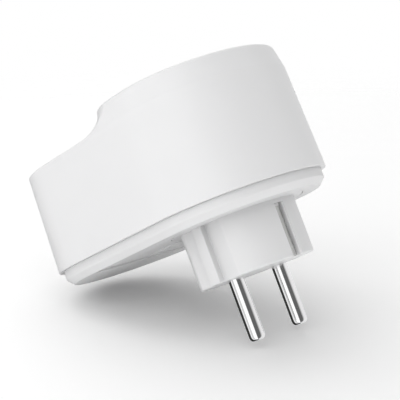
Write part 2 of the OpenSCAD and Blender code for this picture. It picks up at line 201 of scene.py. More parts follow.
def arc(cx, cy, radius, start, end, steps):
    """Points of an arc, its ends included. Its angles are in degrees."""
    angles = [math.radians(start + (end - start) * k / steps) for k in range(steps + 1)]
    return [Vector((cx + radius * math.cos(a), cy + radius * math.sin(a))) for a in angles]


def circle(cx, cy, radius, steps=64):
    return arc(cx, cy, radius, 0, 360, steps)[:-1]


def round_rect(cx, cy, width, height, radius, steps=6):
    w, h = width / 2, height / 2
    corners = [(cx - w, cy - h), (cx + w, cy - h), (cx + w, cy + h), (cx - w, cy + h)]
    return rounded(corners, [radius] * 4, steps, closed=True)


def weave(bm, rings, closed_rings=True, loop=False, caps=True):
    """Joins each ring of points to the next with faces. loop joins the last ring to the first."""
    rows = [[bm.verts.new(point) for point in ring] for ring in rings]
    pairs = list(zip(rows, rows[1:])) + ([(rows[-1], rows[0])] if loop else [])
    count = len(rows[0])
    for a, b in pairs:
        for i in range(count if closed_rings else count - 1):
            j = (i + 1) % count
            bm.faces.new((a[i], a[j], b[j], b[i]))
    if caps and not loop:
        bm.faces.new(rows[0])
        bm.faces.new(rows[-1])


def lathe(bm, profile, steps, cx=0.0, cy=0.0, loop=True):
    """Turns a profile of (radius, front) round an axis through (cx, cy). loop=False leaves it open,
    for a profile that starts and ends on the axis."""
    rings = []
    for k in range(steps):
        a = 2 * math.pi * k / steps
        rings.append([at(cx + r * math.cos(a), cy + r * math.sin(a), z) for r, z in profile])
    weave(bm, rings, closed_rings=loop, loop=True, caps=False)


def prism(bm, levels):
    """Stacks outlines: levels is a list of (outline, front)."""
    weave(bm, [[at(p[0], p[1], z) for p in outline] for outline, z in levels])


def soft_prism(bm, outline_at, low, high, edge_low, edge_high, steps=3):
    """A prism with rounded end edges. outline_at(inset) gives its outline."""
    levels = []
    for k in range(steps + 1):
        a = math.pi / 2 * k / steps
        if edge_low > 0 or k == 0:
            levels.append((outline_at(edge_low * (1 - math.sin(a))), low + edge_low * (1 - math.cos(a))))
    for k in range(steps + 1):
        a = math.pi / 2 * k / steps
        if edge_high > 0 or k == 0:
            levels.append((outline_at(edge_high * (1 - math.cos(a))), high - edge_high * (1 - math.sin(a))))
    prism(bm, levels)


def bent_strip(bm, path, width):
    """Sheet metal bent along a path of (up, front) points, in the middle plane."""
    section = round_rect(0, 0, width, STRIP_THICK, 0.15, 3)
    rings = []
    for i, point in enumerate(path):
        back = path[max(i - 1, 0)]
        ahead = path[min(i + 1, len(path) - 1)]
        along = (ahead - back).normalized()
        side = Vector((-along.y, along.x))
        rings.append([at(s.x, point.x + side.x * s.y, point.y + side.y * s.y) for s in section])
    weave(bm, rings)


def post(x, up, outer, low, high):
    """Maker of a hollow screw post with rounded edges."""
    profile = rounded([(POST_BORE_R, low), (outer, low), (outer, high), (POST_BORE_R, high)],
                      [0, 0.2, 0.2, 0.2], 3)
    return lambda bm: lathe(bm, profile, 32, x, up)


def mesh_object(name, bm):
    bmesh.ops.remove_doubles(bm, verts=bm.verts, dist=MERGE)
    bmesh.ops.dissolve_degenerate(bm, edges=bm.edges, dist=MERGE)
    bmesh.ops.recalc_face_normals(bm, faces=bm.faces)
    mesh = bpy.data.meshes.new(name)
    bm.to_mesh(mesh)
    bm.free()
    thing = bpy.data.objects.new(name, mesh)
    bpy.context.scene.collection.objects.link(thing)
    return thing


def build(name, *makers):
    """An object from functions that each draw into one mesh."""
    bm = bmesh.new()
    for make in makers:
        make(bm)
    return mesh_object(name, bm)


def combine(thing, operation, *makers):
    """Cuts the makers' shapes out of an object, or adds them to it."""
    tool = build("tool", *makers)
    change = thing.modifiers.new("change", "BOOLEAN")
    change.operation = operation
    change.solver = "EXACT"
    change.object = tool
    bpy.context.view_layer.update()
    graph = bpy.context.evaluated_depsgraph_get()
    mesh = bpy.data.meshes.new_from_object(thing.evaluated_get(graph))
    thing.modifiers.clear()
    thing.data = mesh
    bpy.data.objects.remove(tool)


def dress(thing, body, look, nodes=()):
    """Smooth shading, material, body and the CAD nodes that the piece stands for."""
    mesh = thing.data
    if not mesh.materials:
        mesh.materials.append(look)
    mesh.polygons.foreach_set("use_smooth", [True] * len(mesh.polygons))
    mesh.set_sharp_from_angle(angle=SHARP_ANGLE)
    weights = thing.modifiers.new("weighted normals", "WEIGHTED_NORMAL")
    weights.keep_sharp = True
    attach(thing, body)
    if nodes:
        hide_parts(*nodes)


# ---------------------------------------------------------------- materials

# Most of the noise lies between these values: the looks use that part of it.
NOISE_LOW = 0.3
NOISE_HIGH = 0.7


def new_material(name, color, roughness, metallic=0.0, ior=1.5):
    look = bpy.data.materials.new(name)
    look.use_nodes = True
    shader = look.node_tree.nodes["Principled BSDF"]
    shader.inputs["Base Color"].default_value = (*color, 1)
    shader.inputs["Roughness"].default_value = roughness
    shader.inputs["Metallic"].default_value = metallic
    shader.inputs["IOR"].default_value = ior
    return look, look.node_tree, shader


def noise(tree, scale, detail, stretch=(1, 1, 1)):
    """Noise in the object's own metres: scale is its number of grains per metre."""
    place = tree.nodes.new("ShaderNodeTexCoord")
    mapping = tree.nodes.new("ShaderNodeMapping")
    mapping.inputs["Scale"].default_value = stretch
    texture = tree.nodes.new("ShaderNodeTexNoise")
    texture.inputs["Scale"].default_value = scale
    texture.inputs["Detail"].default_value = detail
    tree.links.new(place.outputs["Object"], mapping.inputs["Vector"])
    tree.links.new(mapping.outputs["Vector"], texture.inputs["Vector"])
    return texture.outputs["Fac"]


def vary_color(tree, shader, factor, dark, light):
    ramp = tree.nodes.new("ShaderNodeValToRGB")
    ramp.color_ramp.elements[0].position = NOISE_LOW
    ramp.color_ramp.elements[0].color = (*dark, 1)
    ramp.color_ramp.elements[1].position = NOISE_HIGH
    ramp.color_ramp.elements[1].color = (*light, 1)
    tree.links.new(factor, ramp.inputs["Fac"])
    tree.links.new(ramp.outputs["Color"], shader.inputs["Base Color"])


def map_range(tree, factor, from_low, from_high, to_low, to_high):
    """Stretches a factor from one range to another."""
    node = tree.nodes.new("ShaderNodeMapRange")
    node.inputs["From Min"].default_value = from_low
    node.inputs["From Max"].default_value = from_high
    node.inputs["To Min"].default_value = to_low
    node.inputs["To Max"].default_value = to_high
    tree.links.new(factor, node.inputs["Value"])
    return node


def vary_roughness(tree, shader, factor, low, high):
    gloss = map_range(tree, factor, NOISE_LOW, NOISE_HIGH, low, high)
    tree.links.new(gloss.outputs["Result"], shader.inputs["Roughness"])


def add_bump(tree, shader, factor, strength, depth):
    bump = tree.nodes.new("ShaderNodeBump")
    bump.inputs["Strength"].default_value = strength
    bump.inputs["Distance"].default_value = depth
    tree.links.new(factor, bump.inputs["Height"])
    tree.links.new(bump.outputs["Normal"], shader.inputs["Normal"])


def shaded(color, share):
    return tuple(c * share for c in color)


def calm_bounces(tree, shader, share):
    """Lets less light pass on from one white wall to the next, so that corners keep their shade."""
    path = tree.nodes.new("ShaderNodeLightPath")
    mix = tree.nodes.new("ShaderNodeMix")
    mix.data_type = "RGBA"
    mix.blend_type = "MULTIPLY"
    source = shader.inputs["Base Color"].links[0].from_socket
    tree.links.new(path.outputs["Is Diffuse Ray"], mix.inputs["Factor"])
    tree.links.new(source, mix.inputs[6])
    mix.inputs[7].default_value = (share, share, share, 1)
    tree.links.new(mix.outputs[2], shader.inputs["Base Color"])


def plastic(name, color, roughness, grain=2200, depth=0.000012, marks=0.985, share=1.0):
    """Moulded plastic: fine spark-eroded grain, with slight flow marks in colour and gloss. marks is
    how light the flow marks stay, and share how much light the plastic passes on."""
    look, tree, shader = new_material(name, color, roughness)
    flow = noise(tree, 38, 2.0, (1, 1, 0.4))
    vary_color(tree, shader, flow, shaded(color, marks), color)
    vary_roughness(tree, shader, noise(tree, 160, 4.0), roughness - 0.03, roughness + 0.04)
    add_bump(tree, shader, noise(tree, grain, 2.0), 0.25, depth)
    if share < 1.0:
        calm_bounces(tree, shader, share)
    return look


def metal(name, color, roughness, brushed=(1, 1, 1), depth=0.000004):
    """Plated or rolled metal, with drawing marks along one axis. At depth 0 they show only in gloss."""
    look, tree, shader = new_material(name, color, roughness, metallic=1.0)
    marks = noise(tree, 900, 3.0, brushed)
    vary_color(tree, shader, noise(tree, 120, 3.0), shaded(color, 0.93), color)
    vary_roughness(tree, shader, marks, roughness * 0.75, roughness * 1.3)
    if depth > 0:
        add_bump(tree, shader, marks, 0.2, depth)
    return look


def circuit_board(name):
    """Solder mask over copper tracks: the tracks show a little lighter and stand proud."""
    look, tree, shader = new_material(name, (0.02, 0.16, 0.06), 0.3)
    place = tree.nodes.new("ShaderNodeTexCoord")
    tracks = tree.nodes.new("ShaderNodeTexBrick")
    tracks.inputs["Scale"].default_value = 260
    tracks.inputs["Mortar Size"].default_value = 0.03
    tracks.inputs["Color1"].default_value = (0.018, 0.15, 0.055, 1)
    tracks.inputs["Color2"].default_value = (0.022, 0.17, 0.065, 1)
    tracks.inputs["Mortar"].default_value = (0.05, 0.27, 0.11, 1)
    turned = tree.nodes.new("ShaderNodeMapping")
    turned.inputs["Rotation"].default_value = (math.pi / 2, 0, 0)
    tree.links.new(place.outputs["Object"], turned.inputs["Vector"])
    tree.links.new(turned.outputs["Vector"], tracks.inputs["Vector"])
    tree.links.new(tracks.outputs["Color"], shader.inputs["Base Color"])
    add_bump(tree, shader, tracks.outputs["Fac"], 0.3, 0.00003)
    return look


def clear_plastic(name):
    look, tree, shader = new_material(name, (0.93, 0.95, 0.95), 0.03, ior=1.49)
    shader.inputs["Transmission Weight"].default_value = 1.0
    vary_roughness(tree, shader, noise(tree, 90, 3.0), 0.02, 0.05)
    return look


def combine_factors(tree, operation, first, second):
    node = tree.nodes.new("ShaderNodeMath")
    node.operation = operation
    tree.links.new(first, node.inputs[0])
    tree.links.new(second, node.inputs[1])
    return node.outputs["Value"]


def distance_fade(tree):
    """0 near the middle of the floor, and 1 far from it."""
    place = tree.nodes.new("ShaderNodeTexCoord")
    away = tree.nodes.new("ShaderNodeVectorMath")
    away.operation = "LENGTH"
    tree.links.new(place.outputs["Object"], away.inputs[0])
    fade = map_range(tree, away.outputs["Value"], FADE_START, FADE_END, 0, 1)
    fade.interpolation_type = "SMOOTHSTEP"
    return fade.outputs["Result"]


def floor_material():
    """White from above and clear from below, so that it hides nothing in a view from under it.
    It is clear to glossy surfaces too: they see the tent. Looked at directly, it fades away far
    from the object, so that its edge never shows."""
    look = bpy.data.materials.new("studio_floor")
    look.use_nodes = True
    tree = look.node_tree
    tree.nodes.clear()
    output = tree.nodes.new("ShaderNodeOutputMaterial")
    mix = tree.nodes.new("ShaderNodeMixShader")
    matte = tree.nodes.new("ShaderNodeBsdfDiffuse")
    clear = tree.nodes.new("ShaderNodeBsdfTransparent")
    path = tree.nodes.new("ShaderNodeLightPath")
    side = tree.nodes.new("ShaderNodeNewGeometry")
    level = map_range(tree, path.outputs["Is Diffuse Ray"], 0, 1, FLOOR_WHITE, FLOOR_BOUNCE)
    tree.links.new(level.outputs["Result"], matte.inputs["Color"])
    unseen = combine_factors(tree, "MAXIMUM", side.outputs["Backfacing"], path.outputs["Is Glossy Ray"])
    faded = combine_factors(tree, "MULTIPLY", distance_fade(tree), path.outputs["Is Camera Ray"])
    tree.links.new(combine_factors(tree, "MAXIMUM", unseen, faded), mix.inputs["Fac"])
    tree.links.new(matte.outputs["BSDF"], mix.inputs[1])
    tree.links.new(clear.outputs["BSDF"], mix.inputs[2])
    tree.links.new(mix.outputs["Shader"], output.inputs["Surface"])
    return look


# ---------------------------------------------------------------- stage, camera and light

CAMERA_PLACE = Vector((-259.188, 30.300, -259.753)) * MM
CAMERA_TURN = Euler([math.radians(a) for a in (-156.6636, 38.3104, 26.0896)])
CAMERA_LENS = 110.427

# The floor lies nearly square to the camera's upright, below the pin tips and the narrow end's rim.
FLOOR_SIZE = 3.0
FLOOR_GAP = 2.8
FLOOR_LEAN = math.radians(1.3)
camera_right = CAMERA_TURN.to_matrix() @ Vector((1, 0, 0))
FLOOR_TILT = math.atan2(camera_right.y, -camera_right.z) - FLOOR_LEAN
FLOOR_UP = Vector((0, -math.cos(FLOOR_TILT), -math.sin(FLOOR_TILT)))
FLOOR_POINT = at(0, 0, PIN_END) - FLOOR_UP * FLOOR_GAP * MM
# How white the floor is to the camera, and to light that bounces off it on to the object.
FLOOR_WHITE = 1.1
FLOOR_BOUNCE = 1.25
# Distances from the floor's middle, in metres, between which it fades away.
FADE_START = 0.2
FADE_END = 0.6
# Share of the light that the white plastics pass on to each other.
BOUNCE_SHARE = 0.5

# The tent that glossy surfaces see: (degrees round the plug's axis from TENT_MIDDLE, brightness).
TENT_MIDDLE = 135
TENT_STRENGTH = 1.3
TENT = [(-180, 0.03), (-93, 0.03), (-84, 1.0), (-80, 1.0), (-75, 0.55), (-50, 0.55),
        (-44, 1.0), (-4, 1.0), (4, 0.11), (52, 0.11), (80, 0.7), (180, 0.75)]

# Eight soft round lights, LIGHT_DISTANCE metres from LIGHT_AIM. Each name says where one stands, and
# gives its bearing from the camera (positive to its right), its height above the floor's plane, both
# in degrees, and its watts.
LIGHT_AIM = at(0, 15, 15)
LIGHT_DISTANCE = 1.5
LIGHT_SIZE = 2.4
LIGHTS = {
    "back_left_low": (-150, 8, 2.0),
    "back_left_high": (-150, 48, 18.4),
    "left_low": (-90, 8, 7.2),
    "front_left_low": (-30, 8, 5.2),
    "front_left_high": (-30, 48, 14.4),
    "front_right_low": (30, 8, 6.4),
    "right_low": (90, 8, 3.0),
    "right_high": (90, 48, 5.2),
}


def make_camera():
    data = bpy.data.cameras.new("camera")
    data.lens = CAMERA_LENS
    data.sensor_width = 36.0
    data.clip_start = 0.01
    camera = bpy.data.objects.new("camera", data)
    camera.location = CAMERA_PLACE
    camera.rotation_euler = CAMERA_TURN
    bpy.context.scene.collection.objects.link(camera)
    bpy.context.scene.camera = camera


def make_floor():
    turn = FLOOR_UP.to_track_quat("Z", "Y").to_matrix().to_4x4()
    bm = bmesh.new()
    bmesh.ops.create_grid(bm, x_segments=1, y_segments=1, size=FLOOR_SIZE)
    floor = mesh_object("studio_floor", bm)
    floor.matrix_world = Matrix.Translation(FLOOR_POINT) @ turn
    floor.data.materials.append(floor_material())


def make_lights():
    ahead = CAMERA_TURN.to_matrix() @ Vector((0, 0, -1))
    ahead = (ahead - FLOOR_UP * ahead.dot(FLOOR_UP)).normalized()
    right = ahead.cross(FLOOR_UP)
    for name, (bearing, height, watts) in LIGHTS.items():
        a, b = math.radians(bearing), math.radians(height)
        flat = -ahead * math.cos(a) + right * math.sin(a)
        towards = flat * math.cos(b) + FLOOR_UP * math.sin(b)
        data = bpy.data.lights.new(name, "AREA")
        data.shape = "DISK"
        data.size = LIGHT_SIZE
        data.energy = watts
        lamp = bpy.data.objects.new(name, data)
        lamp.location = LIGHT_AIM + towards * LIGHT_DISTANCE
        lamp.rotation_euler = towards.to_track_quat("Z", "Y").to_euler()
        lamp.visible_glossy = False
        bpy.context.scene.collection.objects.link(lamp)


def tent_color(tree):
    """The tent's brightness: it changes only with the angle round the plug's axis."""
    place = tree.nodes.new("ShaderNodeTexCoord")
    turned = tree.nodes.new("ShaderNodeMapping")
    turned.inputs["Rotation"].default_value = (-math.pi / 2, 0, math.radians(TENT_MIDDLE))
    bearing = tree.nodes.new("ShaderNodeTexGradient")
    bearing.gradient_type = "RADIAL"
    ramp = tree.nodes.new("ShaderNodeValToRGB")
    stops = ramp.color_ramp.elements
    while len(stops) < len(TENT):
        stops.new(0.5)
    for stop, (angle, level) in zip(stops, TENT):
        stop.position = 0.5 + angle / 360
        stop.color = (level, level, level, 1)
    tree.links.new(place.outputs["Generated"], turned.inputs["Vector"])
    tree.links.new(turned.outputs["Vector"], bearing.inputs["Vector"])
    tree.links.new(bearing.outputs["Fac"], ramp.inputs["Fac"])
    return ramp.outputs["Color"]


def make_world():
    """White where the camera looks past everything. Glossy surfaces see a white tent instead, which
    runs round the plug's axis and has dark gaps: they draw the stripes along the pins."""
    world = bpy.data.worlds.new("studio")
    world.use_nodes = True
    tree = world.node_tree
    path = tree.nodes.new("ShaderNodeLightPath")
    background = tree.nodes["Background"]
    background.inputs["Color"].default_value = (1, 1, 1, 1)
    tent = tree.nodes.new("ShaderNodeBackground")
    tent.inputs["Strength"].default_value = TENT_STRENGTH
    mix = tree.nodes.new("ShaderNodeMixShader")
    tree.links.new(path.outputs["Is Camera Ray"], background.inputs["Strength"])
    tree.links.new(tent_color(tree), tent.inputs["Color"])
    tree.links.new(path.outputs["Is Glossy Ray"], mix.inputs["Fac"])
    tree.links.new(background.outputs["Background"], mix.inputs[1])
    tree.links.new(tent.outputs["Background"], mix.inputs[2])
    tree.links.new(mix.outputs["Shader"], tree.nodes["World Output"].inputs["Surface"])
    bpy.context.scene.world = world
    bpy.context.scene.view_settings.view_transform = "Standard"


# ---------------------------------------------------------------- housing outline

# How far the outline's straight sides lean, because the narrow end is narrower.
TAPER = math.asin((WIDE_R - NARROW_R) / REACH)


def egg_r(theta, inset):
    """Distance from the plug's axis to the housing's outline, drawn in by inset."""
    big, small = WIDE_R - inset, NARROW_R - inset
    across, along = abs(math.cos(theta)), math.sin(theta)
    angle = math.atan2(along, across)
    if angle <= TAPER:
        return big
    last = math.atan2(REACH + small * math.sin(TAPER), small * math.cos(TAPER))
    if angle <= last:
        return big / (math.cos(TAPER) * across + math.sin(TAPER) * along)
    return REACH * along + math.sqrt(small ** 2 - (REACH * across) ** 2)


def column_angles():
    """Angles of evenly spaced points round the housing's outline."""
    taper = math.degrees(TAPER)
    wide = arc(0, 0, WIDE_R, -180 - taper, taper, round(math.pi * WIDE_R / COLUMNS_STEP))
    narrow = arc(0, REACH, NARROW_R, taper, 180 - taper, round(math.pi * NARROW_R / COLUMNS_STEP))
    points = list(wide)
    for start, end in ((wide[-1], narrow[0]), (narrow[-1], wide[0])):
        points += spread(start, end, round((end - start).length / COLUMNS_STEP))[1:]
        if end is narrow[0]:
            points += narrow
    return [math.atan2(p.y, p.x) for p in points]


def columns(profile_at):
    """A closed skin from one closed (radius, front) profile for each angle round the axis."""
    def make(bm):
        rings = []
        for theta in column_angles():
            ring = profile_at(theta)
            rings.append([at(p[0] * math.cos(theta), p[0] * math.sin(theta), p[1]) for p in ring])
        weave(bm, rings, loop=True, caps=False)
    return make


# ---------------------------------------------------------------- front shell

def front_line():
    """The line from the socket's rim over the collar's corner and the hollow curve to the flat face."""
    dip = math.degrees(math.asin((FACE + FILLET_R - RIM) / FILLET_R))
    hollow = arc(FILLET_C, FACE + FILLET_R, FILLET_R, 180 + dip, 270, 18)
    line = rounded([(CUP_R + 0.6, RIM), (hollow[0].x, RIM)] + hollow[2:] + [(FACE_END, FACE)],
                   [0, 1.0] + [0] * (len(hollow) - 1), 8)
    return spread(line[0], line[1], 4) + line[1:-1] + spread(line[-2], line[-1], 24)


def line_lengths(line):
    """Distance along a line to each of its points."""
    total = [0.0]
    for a, b in zip(line, line[1:]):
        total.append(total[-1] + (b - a).length)
    return total


FRONT_LINE = front_line()
FRONT_LENGTHS = line_lengths(FRONT_LINE)


def front_line_point(length):
    """Point of the front line at a distance along it."""
    for i in range(1, len(FRONT_LINE)):
        if FRONT_LENGTHS[i] >= length:
            step = max(FRONT_LENGTHS[i] - FRONT_LENGTHS[i - 1], 1e-9)
            return FRONT_LINE[i - 1].lerp(FRONT_LINE[i], (length - FRONT_LENGTHS[i - 1]) / step)
    return FRONT_LINE[-1]


def side_r(theta, front):
    """Radius of the shell's outside at a height above the crease."""
    return egg_r(theta, DRAFT + LEAN * (front - EDGE) / (RIM - EDGE))


def front_line_end(theta):
    """Distance along the front line to the place where it runs out through the shell's side."""
    for i in range(1, len(FRONT_LINE)):
        gap_a = FRONT_LINE[i - 1].x - side_r(theta, FRONT_LINE[i - 1].y)
        gap_b = FRONT_LINE[i].x - side_r(theta, FRONT_LINE[i].y)
        if gap_a < 0 <= gap_b:
            share = gap_a / (gap_a - gap_b)
            return FRONT_LENGTHS[i - 1] + share * (FRONT_LENGTHS[i] - FRONT_LENGTHS[i - 1])


def shell_profile(theta):
    """Profile of the front shell: from its inner lip round its outside to the socket's bore."""
    meet = front_line_end(theta)
    corner = front_line_point(meet)
    rise = corner.y - EDGE
    side_cut = min(1.0, rise * 0.8)
    face_edge = meet - 1.0
    side_end = Vector((side_r(theta, corner.y - side_cut), corner.y - side_cut))
    over = bend(side_end, corner, front_line_point(face_edge), 7)
    top = [front_line_point(min(s, face_edge)) for s in reversed(FRONT_LENGTHS)]

    crease = (egg_r(theta, DRAFT), EDGE)
    crease_cut = min(0.3, (rise - side_cut) * 0.9 + 0.02)
    lip = rounded([(egg_r(theta, WALL), LIP), (egg_r(theta, 0), LIP), crease, over[0]],
                  [0, LIP_ROUND, crease_cut, 0], 7)
    half = len(lip) // 2
    side = spread(lip[half - 1], lip[half], 5)[1:]
    sleeve_r = CUP_R + SLEEVE
    inside = rounded([top[-1], (CUP_R, RIM), (CUP_R, FACE_IN), (sleeve_r, FACE_IN),
                      (sleeve_r, RIM - WALL), (COLLAR_IN_R, RIM - WALL), (COLLAR_IN_R, FACE_IN),
                      (egg_r(theta, DRAFT + WALL), FACE_IN), (egg_r(theta, WALL), LIP)],
                     [0, 0.35, 0, 0.3, 0.4, 0.4, 0.3, 0.8, 0], 3)
    return lip[:half] + side + lip[half:-1] + over + top + inside[1:-1]


def shell_openings(bm):
    """Pocket and opening of the window, and the buttons' holes with their bevelled mouths."""
    low, high = WINDOW_LOW, WINDOW_HIGH
    mid = (low + high) / 2
    width, height = high.x - low.x, high.y - low.y
    opening = round_rect(mid.x, mid.y, width - 2 * WINDOW_LEDGE, height - 2 * WINDOW_LEDGE, 0.8)

    def pocket(grow):
        return round_rect(mid.x, mid.y, width + WINDOW_PLAY + 2 * grow, height + WINDOW_PLAY + 2 * grow, 1.3)
    prism(bm, [(opening, FACE_IN - 1), (opening, low.z), (pocket(0), low.z), (pocket(0), high.z - 0.2),
               (pocket(0.2), high.z), (pocket(0.2), high.z + 1)])
    for name in BUTTONS:
        b_low, b_high = node_box(name)
        cx, cy = (b_low.x + b_high.x) / 2, (b_low.y + b_high.y) / 2
        hole, mouth = circle(cx, cy, BUTTON_HOLE_R), circle(cx, cy, BUTTON_HOLE_R + BUTTON_MOUTH)
        prism(bm, [(hole, FACE_IN - 1), (hole, FACE - BUTTON_MOUTH), (mouth, FACE), (mouth, FACE + 1)])


def make_shell(look):
    posts = []
    for k in range(4):
        a = math.radians(45 + 90 * k)
        x, up = COLLAR_POST_RING * math.cos(a), COLLAR_POST_RING * math.sin(a)
        posts.append(post(x, up, COLLAR_POST_R, COLLAR_POST_END, RIM - 1.5))
    for x, up in DISPLAY_POSTS:
        posts.append(post(x, up, DISPLAY_POST_R, DISPLAY_POST_END, FACE_IN + 0.5))
    shell = build("front_shell_skin", columns(shell_profile))
    combine(shell, "DIFFERENCE", shell_openings)
    dress(build("front_shell_posts", *posts), "housing", look)
    dress(shell, "housing", look, ["front_shell"])


# ---------------------------------------------------------------- back cover

def cover_profile(theta):
    rim_in, rim_out = egg_r(theta, LIP_STEP + BEVEL), egg_r(theta, LIP_STEP)
    spigot_out, spigot_in = egg_r(theta, WALL + SPIGOT_PLAY), egg_r(theta, LIP_STEP + WALL)
    hole = SEAM_R + SEAM_GAP
    return rounded([(hole, 0), ((hole + rim_in) / 2, 0), (rim_in, 0), (rim_out, BEVEL),
                    (rim_out, COVER_TOP), (spigot_out, COVER_TOP), (spigot_out, SPIGOT),
                    (spigot_in, SPIGOT), (spigot_in, COVER_FLOOR), (hole, COVER_FLOOR)],
                   [0.2, 0, 0.15, 0.25, 0.1, 0, 0.3, 0.3, 0.5, 0], 4, closed=True)


def tray(bm):
    """Shallow tray with upright walls in the back face."""
    outline = round_rect(0, (TRAY_LOW + TRAY_HIGH) / 2, 2 * TRAY_HALF, TRAY_HIGH - TRAY_LOW, 1.0)
    prism(bm, [(outline, -1.0), (outline, TRAY_DEPTH)])


def island(bm):
    outline = round_rect(ISLAND_X, ISLAND_UP, ISLAND_WIDTH, ISLAND_HEIGHT, 0.8)
    prism(bm, [(outline, ISLAND_TOP), (outline, TRAY_DEPTH + 0.4)])


def snap_hook(side, up):
    """Maker of a hook on the spigot: a stem, with a nose that narrows towards its tip."""
    def make(bm):
        stem = round_rect(side * 26.4, up, 1.0, HOOK_LENGTH, 0.1)
        nose = round_rect(side * 27.4, up, 1.8, HOOK_LENGTH, 0.1)
        tip = round_rect(side * 26.9, up, 0.8, HOOK_LENGTH, 0.1)
        prism(bm, [(stem, SPIGOT - 0.5), (stem, SPIGOT + 3.1)])
        prism(bm, [(nose, SPIGOT + 0.8), (nose, SPIGOT + 1.4), (tip, SPIGOT + 3.1)])
    return make


def make_cover(look):
    cover = build("back_cover_skin", columns(cover_profile))
    combine(cover, "DIFFERENCE", tray)
    combine(cover, "UNION", island)
    parts = [post(x, up, BOARD_POST_R, COVER_FLOOR - 0.5, BOARD_POST_TOP) for x, up in BOARD_POSTS]
    parts += [snap_hook(side, up) for up in HOOK_UPS for side in (-1, 1)]
    dress(build("back_cover_posts", *parts), "housing", look)
    dress(cover, "housing", look, ["back_cover"])


# ---------------------------------------------------------------- plug

def plug_outline(inset):
    """A circle with two side flats, each with a key, drawn in by inset."""
    radius, flat, key = PLUG_R - inset, FLAT_X - inset, KEY_HALF - inset
    key_end = math.degrees(math.asin(key / radius))
    flat_end = math.degrees(math.acos(flat / radius))
    key_x = math.sqrt(radius ** 2 - key ** 2)
    flat_y = math.sqrt(radius ** 2 - flat ** 2)
    key_arc, round_arc = arc(0, 0, radius, 0, key_end, 4), arc(0, 0, radius, flat_end, 90, 40)
    corners = rounded([key_arc[3], (key_x, key), (flat, key), (flat, flat_y), round_arc[1]],
                      [0, 0.35, 0.25, 0.3, 0], 4)
    quarter = arc(0, 0, radius, 0, key_end * 0.75, 3)[:-1] + corners[:-1] + round_arc[1:]
    half = quarter + [Vector((-p.x, p.y)) for p in reversed(quarter[:-1])]
    return half + [Vector((-p.x, -p.y)) for p in half[1:-1]]


def plug_body(bm):
    soft_prism(bm, plug_outline, PLUG_FACE, 1.0, 0.55, 0, 4)


def plug_base(bm):
    """Disc in the cover's round hole, with a wider flange behind it."""
    outer = PLUG_HIGH.x
    profile = rounded([(0, 0), (SEAM_R, 0), (SEAM_R, COVER_FLOOR), (outer, COVER_FLOOR),
                       (outer, PLUG_HIGH.z), (0, PLUG_HIGH.z)], [0, 0.2, 0, 0.2, 0.2, 0], 3)
    lathe(bm, profile, 128, loop=False)


def plug_slots(bm):
    """Earth slots with chamfered mouths, their strips' pockets, and the pins' holes."""
    inner_half = SLOT_HALF - SLOT_CHAMFER
    right = [(inner_half, STRIP_R - 0.4), (inner_half, PLUG_R - 0.6),
             (SLOT_HALF, PLUG_R - 0.1), (SLOT_HALF + 0.8, PLUG_R + 1)]
    for side in (-1, 1):
        slot = [(x, side * up) for x, up in right] + [(-x, side * up) for x, up in reversed(right)]
        pocket = round_rect(0, side * STRIP_R, STRIP_WIDTH + STRIP_PLAY, STRIP_THICK + STRIP_PLAY, 0.1, 2)
        wide, neck = circle(side * PIN_X, 0, PIN_R + 0.25), circle(side * PIN_X, 0, NECK_R)
        prism(bm, [(slot, PLUG_FACE - 1), (slot, -1.2)])
        prism(bm, [(pocket, -2.0), (pocket, 8.0)])
        prism(bm, [(wide, PLUG_FACE - 1), (wide, PLUG_FACE), (neck, PLUG_FACE + 0.25), (neck, 8.0)])


def make_plug(look):
    plug = build("plug_insert_skin", plug_body)
    combine(plug, "UNION", plug_base)
    combine(plug, "DIFFERENCE", plug_slots)
    dress(plug, "housing", look, ["plug_insert"])


def make_pins(look):
    shoulder, neck_end, tail_r = PLUG_FACE + 0.02, 6.5, 1.5
    profile = rounded([(0, PIN_END), (PIN_R, PIN_END), (PIN_R, shoulder), (NECK_R, shoulder),
                       (NECK_R, neck_end), (tail_r, neck_end), (tail_r, PIN_HIGH.z), (0, PIN_HIGH.z)],
                      [0, 1.7, 0.1, 0, 0.1, 0, 0.3, 0], 10)
    for node, x in (("plug_pin_line", PIN_X), ("plug_pin_neutral", -PIN_X)):
        pin = build(node + "_skin", lambda bm, x=x: lathe(bm, profile, 72, x, loop=False))
        dress(pin, "housing", look, [node])


def make_plug_earth(look):
    bridge, tip = PLUG_HIGH.z + 0.4, PLUG_FACE + 0.5
    path = rounded([(-STRIP_R, tip), (-STRIP_R, bridge), (STRIP_R, bridge), (STRIP_R, tip)],
                   [0, 1.2, 1.2, 0], 6)
    strip = build("plug_earth_contact_skin", lambda bm: bent_strip(bm, path, STRIP_WIDTH))
    dress(strip, "housing", look, ["plug_earth_contact"])


# ---------------------------------------------------------------- socket

def socket_cup(bm):
    """Cup with a flange round its back, a stub behind it and a rounded rim."""
    low, flange_top, cup_r = SOCKET_LOW.z, WELL_BACK + 2.4, CUP_R - 0.08
    profile = rounded([(0, low), (2.0, low), (2.0, WELL_BACK - 0.3), (3.4, WELL_BACK - 0.3),
                       (3.4, WELL_BACK), (SOCKET_HIGH.x, WELL_BACK), (SOCKET_HIGH.x, flange_top),
                       (cup_r, flange_top), (cup_r, RIM), (WELL_R, RIM), (WELL_R, WELL_FLOOR),
                       (0, WELL_FLOOR)],
                      [0, 0.2, 0, 0.1, 0, 0.3, 0.3, 0.2, 0.3, 0.45, 0.8, 0], 6)
    lathe(bm, profile, 144, loop=False)


def socket_ribs(bm):
    """Four guide ribs on the well's wall, two on each side."""
    for sx in (-1, 1):
        for sy in (-1, 1):
            def outline(inset, sx=sx, sy=sy):
                return round_rect(sx * 18.15, sy * 4, 3.7 - 2 * inset, 2.2 - 2 * inset, 0.3)
            soft_prism(bm, outline, WELL_FLOOR - 1, RIM - 2.0, 0, 0.5)


